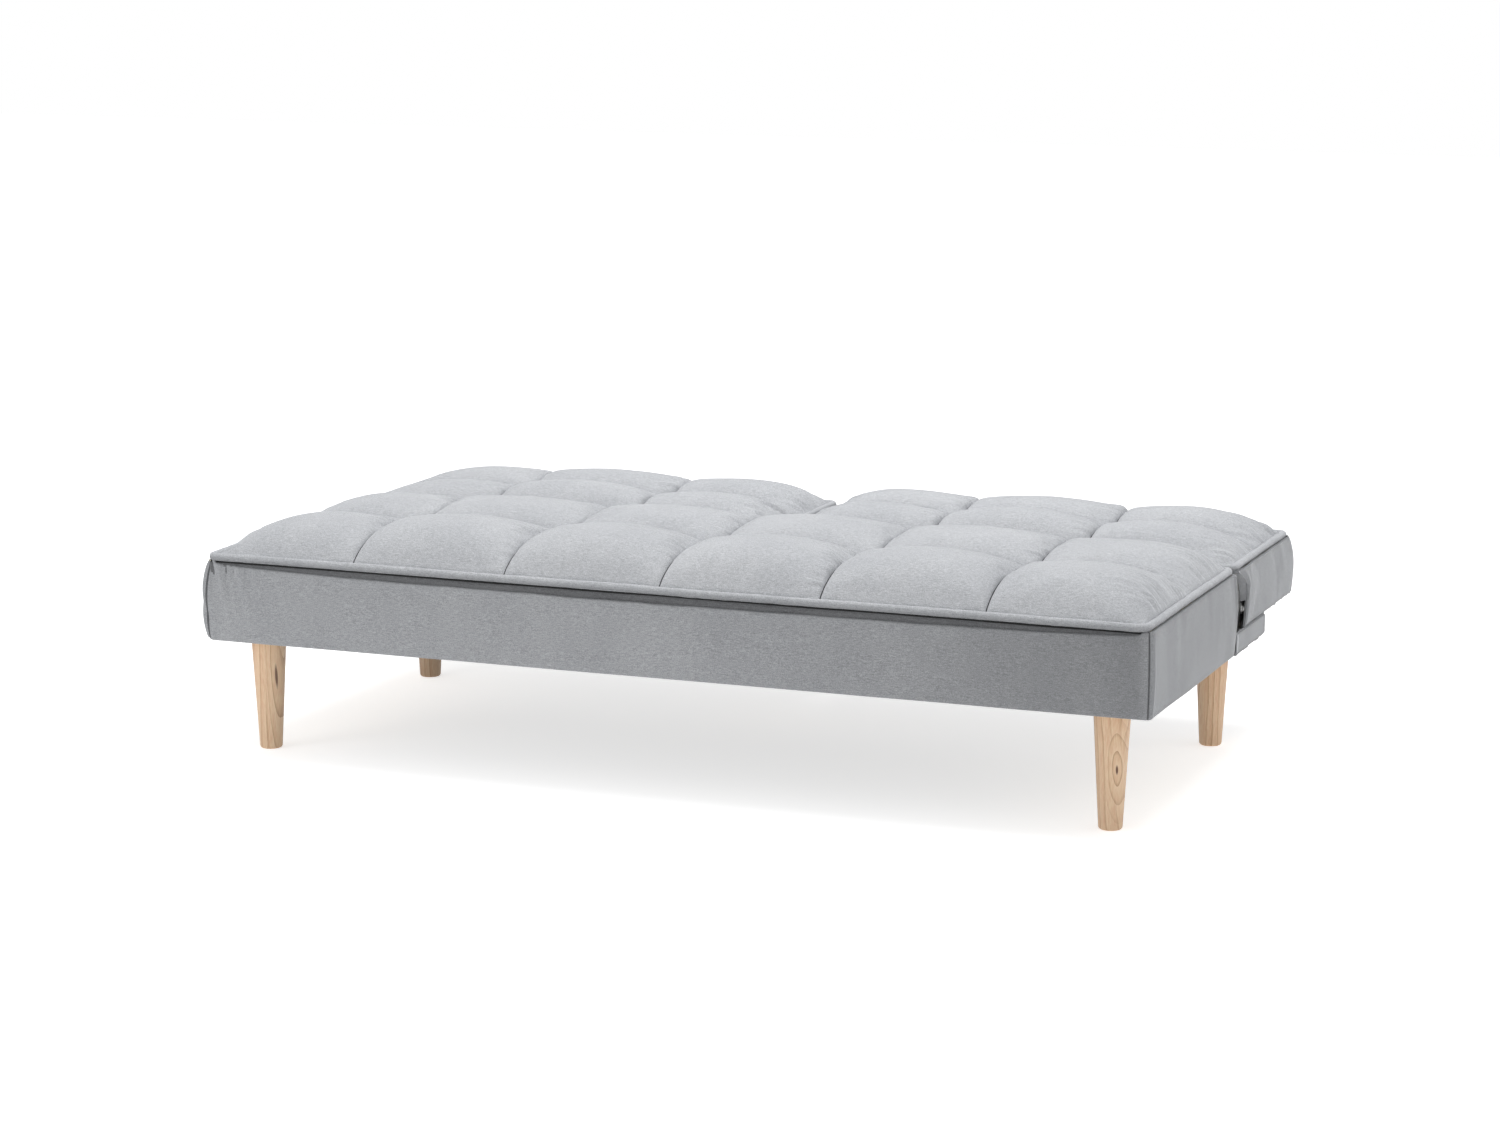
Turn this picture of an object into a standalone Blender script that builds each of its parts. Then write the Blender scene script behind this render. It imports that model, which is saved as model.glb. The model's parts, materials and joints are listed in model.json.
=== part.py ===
"""A futon sofa bed: a fixed seat box on four turned legs, and a backrest in two halves on click hinges.

Metres, +Z up, X to the sitter's left-hand side when seen from the front, +Y towards the back.
The origin is on the floor, under the middle of the whole object. The backrest lies flat, as a bed.
"""

from math import cos, pi, sin

import bmesh
import bpy
from mathutils import Matrix, Vector

# Driving dimensions. Depths are measured back from the face of the seat's front panel.
WIDTH = 1.800
SEAT_DEPTH = 0.565
LEDGE_REAR = 0.780
BACK_REAR_TOP = 0.9635
BACK_REAR_MOST = 1.000
BACK_REAR_FOOT = 0.986
BOX_BOTTOM = 0.2105
LEDGE_TOP = 0.2490
BACK_BOTTOM = 0.2505
PIPING_HEIGHT = 0.368
PIPING_RADIUS = 0.0075
CUSHION_TOP = 0.448
LEG_FROM_SIDE = 0.091
FRONT_LEG_Y = 0.077
REAR_LEG_Y = 0.740
LEG_TOP_RADIUS = 0.0325
LEG_FOOT_RADIUS = 0.021

# The hinge axis, and the side view of the front of a backrest half.
PIVOT_BEHIND_SEAT = 0.0745
PIVOT_HEIGHT = 0.345
BACK_LIP = 0.0105
BACK_THROAT = 0.060
THROAT_HEIGHT = 0.310

# Thicknesses and gaps.
GAP = 0.0003
PANEL = 0.0065
BOARD = 0.022
BATTEN_BOTTOM = 0.2310
FRAME_TOP = 0.3125
WEBBING = 0.003
FOAM_TOP = 0.3600
CUSHION_BOTTOM = 0.3603
PANEL_TOP = 0.3600
FRONT_GAP = 0.0145
CLOTH = 0.001
HALF_WIDTH = WIDTH / 2
PIPING_INSET = 0.014
BACK_PIPING_INSET = 0.0145
CENTRE_GAP = 0.006
COLUMNS = 6

# Hinge metal.
PLATE = 0.003
HUB_RADIUS = 0.0145
PIN_RADIUS = 0.005
PIN_HOLE_RADIUS = 0.00508
PIN_HEAD_RADIUS = 0.009
OUTER_HINGE_X = 0.8815
ROUND_STEPS = 32

FRONT_PIPING_Y = 0.006
FRONT_MOST = FRONT_PIPING_Y - PIPING_RADIUS
MIDDLE_Y = (FRONT_MOST + BACK_REAR_MOST) / 2
PIVOT_Y = SEAT_DEPTH + PIVOT_BEHIND_SEAT


def clear_scene():
    for obj in list(bpy.data.objects):
        bpy.data.objects.remove(obj, do_unlink=True)


def make_material(name, colour, roughness, metallic=0.0):
    material = bpy.data.materials.new(name)
    material.use_nodes = True
    shader = material.node_tree.nodes["Principled BSDF"]
    shader.inputs["Base Color"].default_value = (*colour, 1.0)
    shader.inputs["Roughness"].default_value = roughness
    shader.inputs["Metallic"].default_value = metallic
    return material


def make_materials():
    return {
        "velvet": make_material("velvet", (0.46, 0.47, 0.48), 0.85),
        "piping": make_material("piping", (0.50, 0.51, 0.52), 0.8),
        "underlay": make_material("underlay", (0.10, 0.10, 0.11), 0.95),
        "dust_cloth": make_material("dust_cloth", (0.03, 0.03, 0.03), 0.95),
        "frame_wood": make_material("frame_wood", (0.62, 0.46, 0.28), 0.7),
        "leg_wood": make_material("leg_wood", (0.66, 0.43, 0.23), 0.45),
        "foam": make_material("foam", (0.85, 0.80, 0.62), 0.95),
        "webbing": make_material("webbing", (0.30, 0.24, 0.18), 0.9),
        "steel": make_material("steel", (0.62, 0.62, 0.60), 0.35, 1.0),
    }


def place_pivot(name, x, y, z):
    """An empty that a body's pieces hang on; a backrest half's empty is on its hinge axis."""
    empty = bpy.data.objects.new(name, None)
    empty.location = (x, y - MIDDLE_Y, z)
    bpy.context.scene.collection.objects.link(empty)
    return empty


def add_object(name, shape, material, parent):
    """Turns a bmesh, made with depths from the front panel, into a named piece on its body."""
    shape.transform(Matrix.Translation((0, -MIDDLE_Y, 0)))
    bmesh.ops.recalc_face_normals(shape, faces=shape.faces)
    mesh = bpy.data.meshes.new(name)
    shape.to_mesh(mesh)
    shape.free()
    mesh.materials.append(material)
    obj = bpy.data.objects.new(name, mesh)
    bpy.context.scene.collection.objects.link(obj)
    obj.parent = parent
    obj.matrix_parent_inverse = Matrix.Translation(-parent.location)
    return obj


def prism(outline, axis, low, high):
    """Extrudes an outline along an axis: (y, z) points along X, (x, z) along Y, (x, y) along Z."""
    shape = bmesh.new()
    spots = {
        "X": lambda a, b, along: (along, a, b),
        "Y": lambda a, b, along: (a, along, b),
        "Z": lambda a, b, along: (a, b, along),
    }[axis]
    face = shape.faces.new([shape.verts.new(spots(a, b, low)) for a, b in outline])
    step = Vector(spots(0, 0, high)) - Vector(spots(0, 0, low))
    grown = bmesh.ops.extrude_face_region(shape, geom=[face], use_keep_orig=True)
    moved = [item for item in grown["geom"] if isinstance(item, bmesh.types.BMVert)]
    bmesh.ops.translate(shape, verts=moved, vec=step)
    return shape


def block(x, y, z):
    """A box from its (low, high) pairs."""
    outline = [(x[0], y[0]), (x[1], y[0]), (x[1], y[1]), (x[0], y[1])]
    return prism(outline, "Z", z[0], z[1])


def board(name, x, y, z, material, parent):
    """A sawn board with its edges eased."""
    obj = add_object(name, block(x, y, z), material, parent)
    ease = obj.modifiers.new("eased_edges", "BEVEL")
    ease.width = 0.0012
    ease.segments = 1
    return obj


def circle(y, z, radius, start=0.0, end=2 * pi, steps=ROUND_STEPS):
    """Points of an arc, anticlockwise with its second coordinate up; a whole circle isn't closed twice."""
    count = steps if end - start > 2 * pi - 0.01 else steps + 1
    turn = (end - start) / steps
    return [(y + radius * cos(start + turn * i), z + radius * sin(start + turn * i)) for i in range(count)]


def join(shape, others, operation="UNION"):
    """Boolean of bmesh shapes, worked out exactly and returned as one bmesh."""
    helpers = []
    for index, piece in enumerate([shape, *others]):
        bmesh.ops.recalc_face_normals(piece, faces=piece.faces)
        mesh = bpy.data.meshes.new(f"helper_{index}")
        piece.to_mesh(mesh)
        piece.free()
        helper = bpy.data.objects.new(f"helper_{index}", mesh)
        bpy.context.scene.collection.objects.link(helper)
        helpers.append(helper)
    for helper in helpers[1:]:
        step = helpers[0].modifiers.new("step", "BOOLEAN")
        step.operation = operation
        step.solver = "EXACT"
        step.object = helper
    graph = bpy.context.evaluated_depsgraph_get()
    result = bmesh.new()
    result.from_mesh(helpers[0].evaluated_get(graph).to_mesh())
    for helper in helpers:
        bpy.data.objects.remove(helper, do_unlink=True)
    return result


def smooth_round(obj, degrees=35):
    obj.data.shade_smooth()
    obj.data.set_sharp_from_angle(angle=degrees * pi / 180)


# Soft pieces


def eased(t):
    """Rises from 0 to 1 as t goes from 0 to 1, and stays there."""
    t = max(0.0, min(1.0, t))
    return sin(t * pi / 2)


def cushion(name, x, y, columns, rows, soft_side, material, parent):
    """A crowned pad in puffed cells, closed by a flat underside. soft_side is how far its edges slope in."""
    per_cell = 6
    across, deep = columns * per_cell, rows * per_cell
    edge = PIPING_HEIGHT + 0.002
    groove = 0.022
    shape = bmesh.new()
    top, bottom = [], []
    for j in range(deep + 1):
        for i in range(across + 1):
            px = x[0] + (x[1] - x[0]) * i / across
            py = y[0] + (y[1] - y[0]) * j / deep
            from_edge = eased(min(px - x[0], x[1] - px) / soft_side)
            from_edge *= eased(min(py - y[0], y[1] - py) / soft_side)
            puff_x = abs(sin(pi * columns * i / across))
            puff_y = abs(sin(pi * rows * j / deep))
            puff = min(eased(2 * puff_x), eased(2 * puff_y))
            height = edge + (CUSHION_TOP - edge - groove * (1 - puff)) * from_edge
            top.append(shape.verts.new((px, py, height)))
            bottom.append(shape.verts.new((px, py, CUSHION_BOTTOM)))
    row = across + 1
    for j in range(deep):
        for i in range(across):
            corners = [j * row + i, j * row + i + 1, (j + 1) * row + i + 1, (j + 1) * row + i]
            shape.faces.new([top[c] for c in corners])
    rim = [i for i in range(across + 1)]
    rim += [j * row + across for j in range(1, deep + 1)]
    rim += [deep * row + i for i in range(across - 1, -1, -1)]
    rim += [j * row for j in range(deep - 1, 0, -1)]
    for a, b in zip(rim, rim[1:] + rim[:1]):
        shape.faces.new([top[a], bottom[a], bottom[b], top[b]])
    shape.faces.new([bottom[c] for c in rim])
    inside = [vert for vert in shape.verts if not vert.link_faces]
    bmesh.ops.delete(shape, geom=inside, context="VERTS")
    return add_object(name, shape, material, parent)


def piping(name, x, y, material, parent):
    """A round cord sewn along the pad's edge: a closed loop with rounded corners."""
    corner = 0.0086
    arcs = [
        (x[1] - corner, y[1] - corner, 0.0),
        (x[0] + corner, y[1] - corner, pi / 2),
        (x[0] + corner, y[0] + corner, pi),
        (x[1] - corner, y[0] + corner, 3 * pi / 2),
    ]
    route = []
    for centre_x, centre_y, start in arcs:
        route += circle(centre_x, centre_y, corner, start, start + pi / 2, 4)
    curve = bpy.data.curves.new(name, "CURVE")
    curve.dimensions = "3D"
    curve.bevel_depth = PIPING_RADIUS
    curve.bevel_resolution = 2
    spline = curve.splines.new("POLY")
    spline.points.add(len(route) - 1)
    for point, (px, py) in zip(spline.points, route):
        point.co = (px, py - MIDDLE_Y, PIPING_HEIGHT, 1.0)
    spline.use_cyclic_u = True
    curve.materials.append(material)
    obj = bpy.data.objects.new(name, curve)
    bpy.context.scene.collection.objects.link(obj)
    obj.parent = parent
    obj.matrix_parent_inverse = Matrix.Translation(-parent.location)
    return obj


def webbing(name, x, y, across, deep, material, parent):
    """Elastic straps that cross each other, stretched over the frame and stapled on its top edge."""
    strap = 0.050
    low = FRAME_TOP + GAP
    middle = low + WEBBING / 2
    straps = []
    for i in range(across):
        centre = x[0] + (x[1] - x[0]) * (i + 0.5) / across
        straps.append(block((centre - strap / 2, centre + strap / 2), y, (low, middle + GAP)))
    for j in range(deep):
        centre = y[0] + (y[1] - y[0]) * (j + 0.5) / deep
        straps.append(block(x, (centre - strap / 2, centre + strap / 2), (middle, low + WEBBING)))
    return add_object(name, join(straps[0], straps[1:]), material, parent)


# Legs


def leg(name, x, y, material, parent):
    """A turned, tapered leg with an eased foot and a blind hole for its hanger bolt."""
    top = BOX_BOTTOM - GAP
    ease = 0.005
    hole_radius, hole_depth = 0.0045, 0.032
    turns = (0, pi / 8, pi / 4, 3 * pi / 8)
    foot = [(LEG_FOOT_RADIUS - ease + ease * sin(a), ease - ease * cos(a)) for a in turns]
    profile = [(0, 0), *foot, (LEG_FOOT_RADIUS, ease)]
    profile += [(LEG_TOP_RADIUS, top - 0.002), (LEG_TOP_RADIUS - 0.002, top)]
    profile += [(hole_radius, top), (hole_radius, top - hole_depth), (0, top - hole_depth)]
    shape = bmesh.new()
    points = [shape.verts.new((x + radius, y, height)) for radius, height in profile]
    edges = [shape.edges.new(pair) for pair in zip(points, points[1:])]
    bmesh.ops.spin(
        shape, geom=points + edges, cent=(x, y, 0), axis=(0, 0, 1), angle=2 * pi, steps=ROUND_STEPS, use_merge=True
    )
    bmesh.ops.remove_doubles(shape, verts=shape.verts, dist=0.00001)
    obj = add_object(name, shape, material, parent)
    smooth_round(obj)
    return obj


def leg_plate(name, x, y, material, parent):
    """A square steel plate with the hanger bolt that the leg is screwed on."""
    half = 0.030
    plate = block((x - half, x + half), (y - half, y + half), (BOX_BOTTOM, BOX_BOTTOM + 0.0025))
    stud = prism(circle(x, y, 0.004, steps=16), "Z", BOX_BOTTOM - 0.025, BOX_BOTTOM + 0.001)
    return add_object(name, join(plate, [stud]), material, parent)


# Hinges


def hinge_plate(name, inside, outward, material, parent):
    """The hinge's fixed plate: a foot screwed on the ledge's rail, and an arm up to the pivot.

    inside is the X of the face against the rail, and outward is +1 or -1, the way the pin's head faces.
    """
    foot_low, foot_high = 0.2155, 0.2455
    rise = foot_high + 0.004
    neck = 0.0125
    outline = [
        (PIVOT_Y - 0.034, foot_low),
        (PIVOT_Y + 0.048, foot_low),
        (PIVOT_Y + 0.048, foot_high),
        (PIVOT_Y + 0.026, rise),
        (PIVOT_Y + 0.026, 0.290),
    ]
    outline += circle(PIVOT_Y, PIVOT_HEIGHT, HUB_RADIUS, 0.1, pi, 12)
    outline += [(PIVOT_Y - neck, rise), (PIVOT_Y - 0.034, foot_high)]
    outside = inside + outward * PLATE
    plate = prism(outline, "X", inside, outside)
    boss_round = circle(PIVOT_Y + 0.013, 0.286, 0.010, steps=20)
    boss = prism(boss_round, "X", inside + outward * 0.001, outside + outward * 0.0018)
    hole = prism(circle(PIVOT_Y, PIVOT_HEIGHT, PIN_HOLE_RADIUS), "X", inside - 0.01, inside + 0.01)
    body = join(join(plate, [boss]), [hole], "DIFFERENCE")
    return add_object(name, body, material, parent)


def hinge_arm(name, inside, outward, material, parent):
    """The hinge's moving arm, screwed on the backrest's end rail, with the ratchet hub and riveted pin."""
    arm_outside = inside - outward * 0.001
    arm_inside = arm_outside - outward * PLATE
    far = inside + outward * PLATE
    outline = circle(PIVOT_Y, PIVOT_HEIGHT, HUB_RADIUS, pi * 0.30, pi * 1.25, 14)
    outline += [
        (PIVOT_Y + 0.055, 0.2640),
        (PIVOT_Y + 0.175, 0.2640),
        (PIVOT_Y + 0.180, 0.2690),
        (PIVOT_Y + 0.180, 0.2890),
        (PIVOT_Y + 0.175, 0.2940),
        (PIVOT_Y + 0.066, 0.2940),
    ]
    arm = prism(outline, "X", arm_inside, arm_outside)
    pin_round = circle(PIVOT_Y, PIVOT_HEIGHT, PIN_RADIUS)
    pin = prism(pin_round, "X", arm_inside + outward * 0.001, far + outward * 0.003)
    head_low, head_high = far + outward * GAP * 2, far + outward * 0.0055
    head = prism(circle(PIVOT_Y, PIVOT_HEIGHT, PIN_HEAD_RADIUS, steps=20), "X", head_low, head_high)
    return add_object(name, join(arm, [pin, head]), material, parent)


# The fixed base: seat box, ledge, legs


def seat_frame(wood, parent):
    """The seat box's rails. The cross rails and the centre rail stand on the two leg bearers."""
    side_in, side_out = HALF_WIDTH - PANEL - GAP - BOARD, HALF_WIDTH - PANEL - GAP
    front = (PANEL + 0.0036, PANEL + 0.0036 + BOARD)
    rear = (SEAT_DEPTH - PANEL - GAP - BOARD, SEAT_DEPTH - PANEL - GAP)
    for side, sign in (("left", -1), ("right", 1)):
        span = sorted((sign * side_in, sign * side_out))
        board(f"seat_{side}_rail", span, (front[0], rear[1]), (BOX_BOTTOM + GAP, FRAME_TOP), wood, parent)
        bearer = sorted((sign * 0.765, sign * 0.8587))
        bearer_y, bearer_z = (front[0], LEDGE_REAR - 0.004), (0.2133, BATTEN_BOTTOM - GAP)
        board(f"leg_bearer_{side}", bearer, bearer_y, bearer_z, wood, parent)
    cross = (-side_in + GAP, side_in - GAP)
    upright = (BATTEN_BOTTOM, FRAME_TOP)
    board("seat_front_rail", cross, front, upright, wood, parent)
    board("seat_rear_rail", cross, rear, upright, wood, parent)
    middle = (front[1] + GAP, rear[0] - GAP)
    board("seat_centre_rail", (-BOARD / 2, BOARD / 2), middle, upright, wood, parent)


def seat_soft(materials, parent):
    """Webbing, foam, quilted pad and piping of the seat."""
    inner_x = HALF_WIDTH - PANEL - 2 * GAP
    inner_y = (PANEL + 0.0036, SEAT_DEPTH - PANEL - 2 * GAP)
    edge = HALF_WIDTH - PIPING_INSET
    rear_piping = SEAT_DEPTH - 0.012
    webbing("seat_webbing", (-0.886, 0.886), (0.014, SEAT_DEPTH - 0.012), 12, 4, materials["webbing"], parent)
    foam_z = (FRAME_TOP + WEBBING + 2 * GAP, FOAM_TOP)
    foam = block((-inner_x, inner_x), inner_y, foam_z)
    add_object("seat_foam", foam, materials["foam"], parent)
    room = PIPING_RADIUS + 0.0005
    cushion(
        "seat_cushion",
        (-edge + room, edge - room),
        (FRONT_PIPING_Y + room, rear_piping - room),
        COLUMNS,
        2,
        0.115,
        materials["velvet"],
        parent,
    )
    piping("seat_piping", (-edge, edge), (FRONT_PIPING_Y, rear_piping), materials["piping"], parent)


def seat_panels(materials, parent):
    """The padded borders of the seat box, the dark underlay over the front one, and the dust cloth."""
    velvet = materials["velvet"]
    steps = 24
    arc = [(HALF_WIDTH * (1 - 2 * i / steps), 1 - (1 - 2 * i / steps) ** 2) for i in range(steps + 1)]
    top_edge = [(x, PANEL_TOP - FRONT_GAP * sag + 0.0005) for x, sag in arc]
    outline = [(-HALF_WIDTH, BOX_BOTTOM), (HALF_WIDTH, BOX_BOTTOM), *top_edge]
    add_object("seat_front_panel", prism(outline, "Y", 0.0, PANEL), velvet, parent)
    strip_y = (PANEL + GAP, PANEL + GAP + 0.003)
    strip = block((-HALF_WIDTH + 0.01, HALF_WIDTH - 0.01), strip_y, (0.334, PANEL_TOP))
    add_object("seat_front_underlay", strip, materials["underlay"], parent)
    side_y = (PANEL + GAP, SEAT_DEPTH - PANEL - GAP)
    height = (BOX_BOTTOM, PANEL_TOP)
    for side, sign in (("left", -1), ("right", 1)):
        span = sorted((sign * (HALF_WIDTH - PANEL), sign * HALF_WIDTH))
        y = (side_y[0] + 0.0036, side_y[1])
        add_object(f"seat_{side}_panel", block(span, y, height), velvet, parent)
    rear = block((-HALF_WIDTH, HALF_WIDTH), (SEAT_DEPTH - PANEL, SEAT_DEPTH), (BATTEN_BOTTOM, PANEL_TOP))
    add_object("seat_rear_panel", rear, velvet, parent)
    cloth_y = (PANEL + 0.004, SEAT_DEPTH - PANEL - GAP)
    cloth = block((-0.7645, 0.7645), cloth_y, (BOX_BOTTOM + GAP, BOX_BOTTOM + GAP + CLOTH))
    add_object("seat_dust_cloth", cloth, materials["dust_cloth"], parent)


def ledge(materials, parent):
    """The low frame behind the seat, which the flat backrest rests on and the hinges are screwed to."""
    wood = materials["frame_wood"]
    top = LEDGE_TOP - 0.0015 - GAP
    height = (BOX_BOTTOM + GAP, top)
    y = (SEAT_DEPTH + GAP, LEDGE_REAR - 0.002)
    for side, sign in (("left", -1), ("right", 1)):
        span = sorted((sign * (OUTER_HINGE_X - GAP - BOARD), sign * (OUTER_HINGE_X - GAP)))
        board(f"ledge_{side}_rail", span, y, height, wood, parent)
    inner = OUTER_HINGE_X - 2 * GAP - BOARD
    rear = (y[1] - BOARD, y[1])
    board("ledge_rear_rail", (-inner, inner), rear, (BATTEN_BOTTOM, top), wood, parent)
    centre = (-0.0212, 0.0212)
    board("ledge_centre_rail", centre, (y[0], rear[0] - GAP), height, wood, parent)
    cover = block((-OUTER_HINGE_X + GAP, OUTER_HINGE_X - GAP), y, (top + GAP, LEDGE_TOP))
    slot_y, slot_z = (PIVOT_Y - 0.036, PIVOT_Y + 0.050), (top - 0.01, LEDGE_TOP + 0.01)
    slots = [block((sign * 0.023 - 0.0022, sign * 0.023 + 0.0022), slot_y, slot_z) for sign in (-1, 1)]
    add_object("ledge_cover", join(cover, slots, "DIFFERENCE"), materials["velvet"], parent)


def legs(materials, parent):
    leg_x = HALF_WIDTH - LEG_FROM_SIDE
    for end, y in (("front", FRONT_LEG_Y), ("rear", REAR_LEG_Y)):
        for side, x in (("left", -leg_x), ("right", leg_x)):
            leg(f"leg_{end}_{side}", x, y, materials["leg_wood"], parent)
            leg_plate(f"leg_plate_{end}_{side}", x, y, materials["steel"], parent)


# The two backrest halves


def backrest_half(side, sign, materials, parent):
    """One half of the backrest: a wooden frame with webbing, foam, quilted pad, piping and borders."""
    wood, velvet = materials["frame_wood"], materials["velvet"]

    def span(near, far):
        return sorted((sign * near, sign * far))

    name = f"back_{side}"
    rail_end = OUTER_HINGE_X - 0.001 - PLATE - 0.0005
    rail_start = 0.029
    front = SEAT_DEPTH + BACK_THROAT + 0.0015
    rear = BACK_REAR_FOOT - 0.009
    height = (BACK_BOTTOM + CLOTH + GAP, FRAME_TOP)
    board(f"{name}_outer_rail", span(rail_end - BOARD, rail_end), (front, rear), height, wood, parent)
    board(f"{name}_inner_rail", span(rail_start, rail_start + BOARD), (front, rear), height, wood, parent)
    cross = span(rail_start + BOARD + GAP, rail_end - BOARD - GAP)
    board(f"{name}_front_rail", cross, (front, front + BOARD), height, wood, parent)
    board(f"{name}_rear_rail", cross, (rear - BOARD, rear), height, wood, parent)
    straps_y = (front + 0.004, rear - 0.022)
    webbing(f"{name}_webbing", span(0.034, 0.872), straps_y, 6, 3, materials["webbing"], parent)

    foam_z = (FRAME_TOP + WEBBING + 2 * GAP, FOAM_TOP)
    foam_y = (SEAT_DEPTH + BACK_THROAT - 0.022, BACK_REAR_TOP - 0.0095)
    add_object(f"{name}_foam", block(span(rail_start, rail_end), foam_y, foam_z), materials["foam"], parent)

    inner_piping = CENTRE_GAP + PIPING_INSET
    outer_piping = HALF_WIDTH - PIPING_INSET
    piping_y = (SEAT_DEPTH + BACK_PIPING_INSET, BACK_REAR_TOP - PIPING_RADIUS)
    piping(f"{name}_piping", span(inner_piping, outer_piping), piping_y, materials["piping"], parent)
    room = PIPING_RADIUS + 0.0005
    cushion(
        f"{name}_cushion",
        span(inner_piping + room, outer_piping - room),
        (piping_y[0] + room, piping_y[1] - room),
        COLUMNS // 2,
        2,
        0.115,
        velvet,
        parent,
    )

    lip = SEAT_DEPTH + BACK_LIP
    throat = SEAT_DEPTH + BACK_THROAT
    bulge = 0.300
    rear_out = [(BACK_REAR_FOOT, BACK_BOTTOM), (BACK_REAR_MOST, bulge), (BACK_REAR_TOP, PANEL_TOP)]
    rear_in = [(y - 0.008, z) for y, z in reversed(rear_out)]
    rear_panel = prism(rear_in + rear_out, "X", *span(CENTRE_GAP, HALF_WIDTH))
    add_object(f"{name}_rear_panel", rear_panel, velvet, parent)
    side_outline = [(lip, PANEL_TOP), (lip, PANEL_TOP - 0.004), (throat, THROAT_HEIGHT), (throat, BACK_BOTTOM)]
    side_outline += [(y - GAP * 2, z) for y, z in reversed(rear_in)]
    outer_panel = prism(side_outline, "X", *span(HALF_WIDTH - PANEL, HALF_WIDTH))
    add_object(f"{name}_outer_panel", outer_panel, velvet, parent)
    cloth_x = span(rail_start, rail_end)
    cloth = block(cloth_x, (throat, BACK_REAR_FOOT - 0.0085), (BACK_BOTTOM, BACK_BOTTOM + CLOTH))
    add_object(f"{name}_under_cloth", cloth, materials["dust_cloth"], parent)


def hinges(side, sign, materials, base, back):
    """The outer and the inner hinge of one backrest half, mirror images of each other."""
    steel = materials["steel"]
    inner_x = 0.0215 + PLATE
    for place, inside, outward in (("outer", sign * OUTER_HINGE_X, sign), ("inner", sign * inner_x, -sign)):
        hinge_plate(f"hinge_plate_{side}_{place}", inside, outward, steel, base)
        hinge_arm(f"hinge_arm_{side}_{place}", inside, outward, steel, back)


def main():
    clear_scene()
    materials = make_materials()
    base = place_pivot("base", 0, MIDDLE_Y, 0)
    seat_frame(materials["frame_wood"], base)
    seat_soft(materials, base)
    seat_panels(materials, base)
    ledge(materials, base)
    legs(materials, base)
    for side, sign in (("left", -1), ("right", 1)):
        pivot = place_pivot(f"back_{side}_pivot", sign * HALF_WIDTH / 2, PIVOT_Y, PIVOT_HEIGHT)
        backrest_half(side, sign, materials, pivot)
        hinges(side, sign, materials, base, pivot)


main()
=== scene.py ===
"""Looks for the futon sofa bed: quilted velvet pads, piping, padded borders, turned legs and hinge bolts.

Everything is in metres, in the CAD frame: X right, Y back, Z up, the floor at 0.
"""

import json
import math

import bpy
import numpy as np
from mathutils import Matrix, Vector


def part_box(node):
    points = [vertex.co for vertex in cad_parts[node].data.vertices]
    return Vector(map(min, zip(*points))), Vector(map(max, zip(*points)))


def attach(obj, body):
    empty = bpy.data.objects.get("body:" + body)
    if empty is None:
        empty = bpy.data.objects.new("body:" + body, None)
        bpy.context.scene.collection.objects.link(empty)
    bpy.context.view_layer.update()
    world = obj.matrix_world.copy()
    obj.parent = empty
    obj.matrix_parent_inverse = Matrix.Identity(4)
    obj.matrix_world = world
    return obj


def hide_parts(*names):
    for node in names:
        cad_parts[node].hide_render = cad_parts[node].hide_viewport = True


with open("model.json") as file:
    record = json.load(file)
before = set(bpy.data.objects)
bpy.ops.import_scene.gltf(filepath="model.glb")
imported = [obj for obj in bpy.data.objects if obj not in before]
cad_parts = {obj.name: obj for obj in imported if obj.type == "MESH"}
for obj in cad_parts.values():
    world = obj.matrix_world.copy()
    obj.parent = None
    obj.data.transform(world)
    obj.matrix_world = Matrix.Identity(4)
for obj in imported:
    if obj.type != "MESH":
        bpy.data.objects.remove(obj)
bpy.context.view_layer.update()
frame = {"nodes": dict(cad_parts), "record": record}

# Places read from the CAD model.
PANEL_LOW, PANEL_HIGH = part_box("seat_front_panel")
SEAT_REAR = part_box("seat_rear_panel")[1][1]
LEDGE_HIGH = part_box("ledge_cover")[1]
SEAT_PIPING_LOW, SEAT_PIPING_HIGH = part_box("seat_piping")
BACK_PIPING_LOW, BACK_PIPING_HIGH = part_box("back_right_piping")
BACK_LOW, BACK_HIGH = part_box("back_right_rear_panel")
SIDE_LOW, SIDE_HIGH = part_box("back_right_outer_panel")
FRONT = PANEL_LOW[1]
HALF_WIDTH = PANEL_HIGH[0]
BOX_BOTTOM = PANEL_LOW[2]
PANEL_TOP = SIDE_HIGH[2]
BACK_BOTTOM = SIDE_LOW[2]
LEDGE_TOP = LEDGE_HIGH[2]
PIPING_RADIUS = (SEAT_PIPING_HIGH[2] - SEAT_PIPING_LOW[2]) / 2
PIPING_Z = (SEAT_PIPING_HIGH[2] + SEAT_PIPING_LOW[2]) / 2
PAD_EDGE = PIPING_Z - 0.6 * PIPING_RADIUS
PAD_INSET = PIPING_RADIUS + 0.001
CENTRE_GAP = BACK_LOW[0]
COLUMN = HALF_WIDTH / 3

# Fabric: its thickness on the borders and on the thin strip under the front piping.
FABRIC_THICKNESS = 0.0022
UNDERLAY_THICKNESS = 0.0010

# Cloth simulation of the pads: grid step, pressure, spare cloth as a share of its size, how far a point may
# move, how much flatter the cells are before they swell, and how many frames it runs.
CLOTH_STEP = 0.0085
CLOTH_PRESSURE = 4.0
CLOTH_SPARE = 0.012
CLOTH_CAP = 0.016
CLOTH_RISE = 0.0075
CLOTH_FRAMES = 20

# The camera's place and lens, fitted to the photograph. Angles are in degrees.
CAMERA_PLACE = (2.537, -6.448, 1.641)
CAMERA_DOWN = 10.705
CAMERA_TURN = 21.624
CAMERA_LENS = 90.58
FLOOR_REACH = 14

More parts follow.
